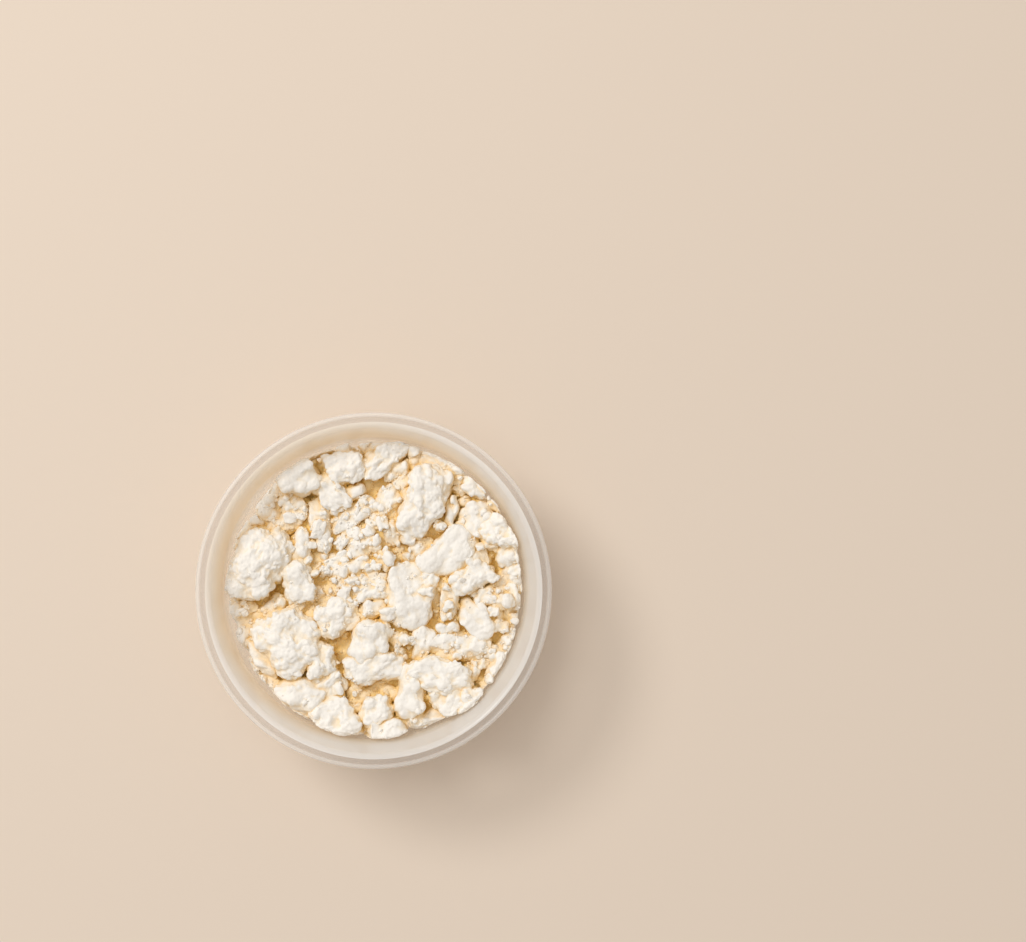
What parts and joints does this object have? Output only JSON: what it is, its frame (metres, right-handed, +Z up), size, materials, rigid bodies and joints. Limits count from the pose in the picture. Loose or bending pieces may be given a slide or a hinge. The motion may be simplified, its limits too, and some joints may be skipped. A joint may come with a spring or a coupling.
{
  "type": "open tub of crumbled goat cheese",
  "caption": "Open round tub of milky plastic with a tapered wall and a lipped rim, part filled with an uneven heap of crumbled fresh goat cheese.",
  "frame": {"origin": "middle of the foot that the tub stands on", "axes": "+Z up through the tub's mouth, +X to the right and +Y to the top of the picture, which looks straight down"},
  "size_m": [0.117, 0.117, 0.043],
  "materials": {
    "tub_plastic": "moulded milky translucent polypropylene, satin gloss",
    "goat_cheese": "moist crumbled fresh goat cheese, warm white with golden crevices"
  },
  "bodies": {
    "root": {"tub": "tub_plastic", "crumbles": "goat_cheese"}
  },
  "joints": []
}
